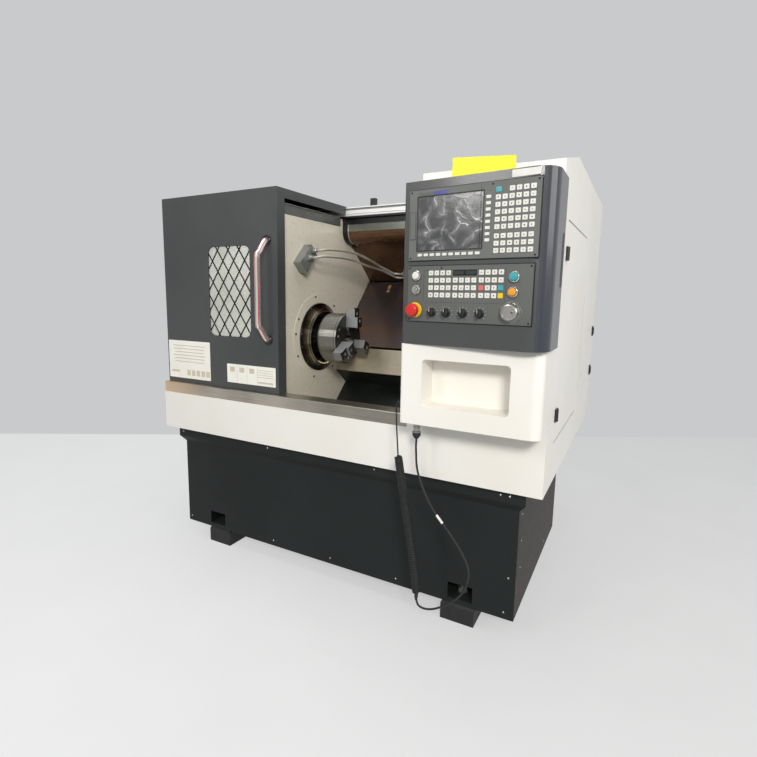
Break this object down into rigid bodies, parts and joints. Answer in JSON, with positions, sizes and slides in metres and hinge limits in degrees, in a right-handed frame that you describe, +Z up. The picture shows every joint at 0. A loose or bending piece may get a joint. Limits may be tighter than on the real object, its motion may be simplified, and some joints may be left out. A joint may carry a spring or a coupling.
{
  "type": "cnc turning lathe",
  "caption": "Slant-bed turning lathe with a full enclosure on a welded base, sliding front door, angled operator pendant, power chuck and indexing turret.",
  "frame": {"origin": "centre of the footprint on the floor, without the hanging lead", "axes": "+X to the right along the spindle towards the pendant, +Y to the rear, +Z up"},
  "size_m": [1.71, 1.5452, 1.622],
  "materials": {
    "base_grey": "satin",
    "door_grey": "satin",
    "enclosure_white": "satin",
    "inner_beige": "satin",
    "cast_iron": "machined and painted",
    "slide_grey": "machined",
    "steel": "brushed",
    "chute_steel": "brushed",
    "cover_steel": "polished, dark",
    "rail_white": "coated",
    "black": "satin",
    "pendant_grey": "gloss",
    "panel_grey": "fine texture",
    "screen": "dark display",
    "key_white": "matt",
    "teal": "gloss",
    "orange": "gloss",
    "red": "gloss",
    "knob_black": "matt",
    "chrome": "polished",
    "silver": "turned",
    "yellow": "matt",
    "rubber_black": "matt",
    "jaw_steel": "hardened",
    "glass": "clear"
  },
  "bodies": {
    "machine": {"base_cabinet": "base_grey", "machine_foot_1": "cast_iron", "machine_foot_2": "cast_iron", "machine_foot_3": "cast_iron", "machine_foot_4": "cast_iron", "chip_tray": "enclosure_white", "sill_strip": "steel", "left_enclosure": "enclosure_white", "chuck_wall": "inner_beige", "spindle_flange": "black", "header_rail": "rail_white", "rear_cover": "cover_steel", "chip_chute": "chute_steel", "right_enclosure": "enclosure_white", "console_box": "enclosure_white", "cable_gland": "black", "hanging_lead": "rubber_black", "curly_lead": "rubber_black", "pendant_housing": "pendant_grey", "display_unit": "panel_grey", "screen_glass": "screen", "operator_panel": "panel_grey", "yellow_plate": "yellow", "slant_bed": "cast_iron", "way_cover_fixed": "cover_steel", "headstock": "cast_iron", "spindle_motor": "cover_steel", "drive_belt": "rubber_black", "coolant_block": "silver", "coolant_hose_1": "silver", "coolant_hose_2": "silver", "coolant_tank": "base_grey"},
    "door": {"sliding_door": "door_grey", "window_glass": "glass", "window_mesh": "black", "door_handle": "chrome"},
    "spindle": {"spindle_shaft": "steel", "chuck_body": "steel"},
    "jaw_1": {"chuck_jaw_1": "jaw_steel"},
    "jaw_2": {"chuck_jaw_2": "jaw_steel"},
    "jaw_3": {"chuck_jaw_3": "jaw_steel"},
    "motor_shaft": {"motor_pulley": "steel"},
    "saddle": {"saddle": "cast_iron", "way_cover_saddle": "cover_steel"},
    "cover_middle": {"way_cover_middle": "cover_steel"},
    "z_screw": {"z_ball_screw": "chrome"},
    "cross_slide": {"cross_slide": "slide_grey"},
    "turret": {"turret_disc": "slide_grey"},
    "side_door": {"side_door": "enclosure_white"},
    "rear_door": {"rear_door": "enclosure_white"},
    "push_white": {"push_white": "key_white"},
    "push_teal": {"push_teal": "teal"},
    "push_orange": {"push_orange": "orange"},
    "estop": {"estop_head": "red"},
    "key_switch": {"key_switch": "chrome"},
    "knob_1": {"override_knob_1": "knob_black"},
    "knob_2": {"override_knob_2": "knob_black"},
    "knob_3": {"override_knob_3": "knob_black"},
    "knob_4": {"override_knob_4": "knob_black"},
    "dial": {"handwheel_dial": "silver"}
  },
  "joints": [
    {"name": "door_slide", "type": "slide", "parent": "machine", "child": "door", "axis": [1, 0, 0], "range_m": [0, 0.6]},
    {"name": "spindle_spin", "type": "hinge", "parent": "machine", "child": "spindle", "pos_m": [-0.755, -0.21493, 0.969], "axis": [1, 0, 0], "continuous": true},
    {"name": "motor_spin", "type": "hinge", "parent": "machine", "child": "motor_shaft", "pos_m": [-0.739, 0.15507, 1.29], "axis": [1, 0, 0], "continuous": true},
    {"name": "jaw_1_slide", "type": "slide", "parent": "spindle", "child": "jaw_1", "axis": [0, 0, 1], "range_m": [-0.0037, 0]},
    {"name": "jaw_2_slide", "type": "slide", "parent": "spindle", "child": "jaw_2", "axis": [0, -0.866, -0.5], "range_m": [-0.0037, 0]},
    {"name": "jaw_3_slide", "type": "slide", "parent": "spindle", "child": "jaw_3", "axis": [0, 0.866, -0.5], "range_m": [-0.0037, 0]},
    {"name": "z_slide", "type": "slide", "parent": "machine", "child": "saddle", "axis": [1, 0, 0], "range_m": [-0.24, 0.02]},
    {"name": "cover_slide", "type": "slide", "parent": "machine", "child": "cover_middle", "axis": [1, 0, 0], "range_m": [-0.12, 0.01]},
    {"name": "z_screw_spin", "type": "hinge", "parent": "machine", "child": "z_screw", "pos_m": [-0.193, 0.16432, 1.01487], "axis": [1, 0, 0], "continuous": true},
    {"name": "x_slide", "type": "slide", "parent": "saddle", "child": "cross_slide", "axis": [0, 0.7071, 0.7071], "range_m": [-0.2, 0.04]},
    {"name": "turret_index", "type": "hinge", "parent": "cross_slide", "child": "turret", "pos_m": [0.3547, -0.00237, 1.18156], "axis": [1, 0, 0], "continuous": true},
    {"name": "side_door_hinge", "type": "hinge", "parent": "machine", "child": "side_door", "pos_m": [0.8505, -0.43593, 1.0445], "axis": [0, 0, -1], "range_deg": [0, 105]},
    {"name": "rear_door_hinge", "type": "hinge", "parent": "machine", "child": "rear_door", "pos_m": [0.4465, 0.76257, 1.175], "axis": [0, 0, -1], "range_deg": [0, 120]},
    {"name": "push_white_press", "type": "slide", "parent": "machine", "child": "push_white", "axis": [0.1045, 0.9945, 0], "range_m": [0, 0.003], "stiffness_N_per_m": 500},
    {"name": "push_teal_press", "type": "slide", "parent": "machine", "child": "push_teal", "axis": [0.1045, 0.9945, 0], "range_m": [0, 0.003], "stiffness_N_per_m": 500},
    {"name": "push_orange_press", "type": "slide", "parent": "machine", "child": "push_orange", "axis": [0.1045, 0.9945, 0], "range_m": [0, 0.003], "stiffness_N_per_m": 500},
    {"name": "estop_press", "type": "slide", "parent": "machine", "child": "estop", "axis": [0.1045, 0.9945, 0], "range_m": [0, 0.004]},
    {"name": "key_switch_turn", "type": "hinge", "parent": "machine", "child": "key_switch", "pos_m": [0.46006, -0.71853, 1.1826], "axis": [-0.1045, -0.9945, 0], "range_deg": [-45, 45]},
    {"name": "knob_1_turn", "type": "hinge", "parent": "machine", "child": "knob_1", "pos_m": [0.51476, -0.72428, 1.1156], "axis": [-0.1045, -0.9945, 0], "range_deg": [-135, 135]},
    {"name": "knob_2_turn", "type": "hinge", "parent": "machine", "child": "knob_2", "pos_m": [0.5615, -0.72919, 1.1156], "axis": [-0.1045, -0.9945, 0], "range_deg": [-135, 135]},
    {"name": "knob_3_turn", "type": "hinge", "parent": "machine", "child": "knob_3", "pos_m": [0.61421, -0.73473, 1.1156], "axis": [-0.1045, -0.9945, 0], "range_deg": [-135, 135]},
    {"name": "knob_4_turn", "type": "hinge", "parent": "machine", "child": "knob_4", "pos_m": [0.66493, -0.74006, 1.1156], "axis": [-0.1045, -0.9945, 0], "range_deg": [-135, 135]},
    {"name": "dial_turn", "type": "hinge", "parent": "machine", "child": "dial", "pos_m": [0.75345, -0.74936, 1.1226], "axis": [-0.1045, -0.9945, 0], "continuous": true}
  ],
  "couplings": [
    {"joint": "motor_spin", "follows": "spindle_spin", "ratio": 1.5357},
    {"joint": "jaw_2_slide", "follows": "jaw_1_slide", "ratio": 1},
    {"joint": "jaw_3_slide", "follows": "jaw_1_slide", "ratio": 1},
    {"joint": "cover_slide", "follows": "z_slide", "ratio": 0.5},
    {"joint": "z_screw_spin", "follows": "z_slide", "rad_per_m": 628.32}
  ]
}
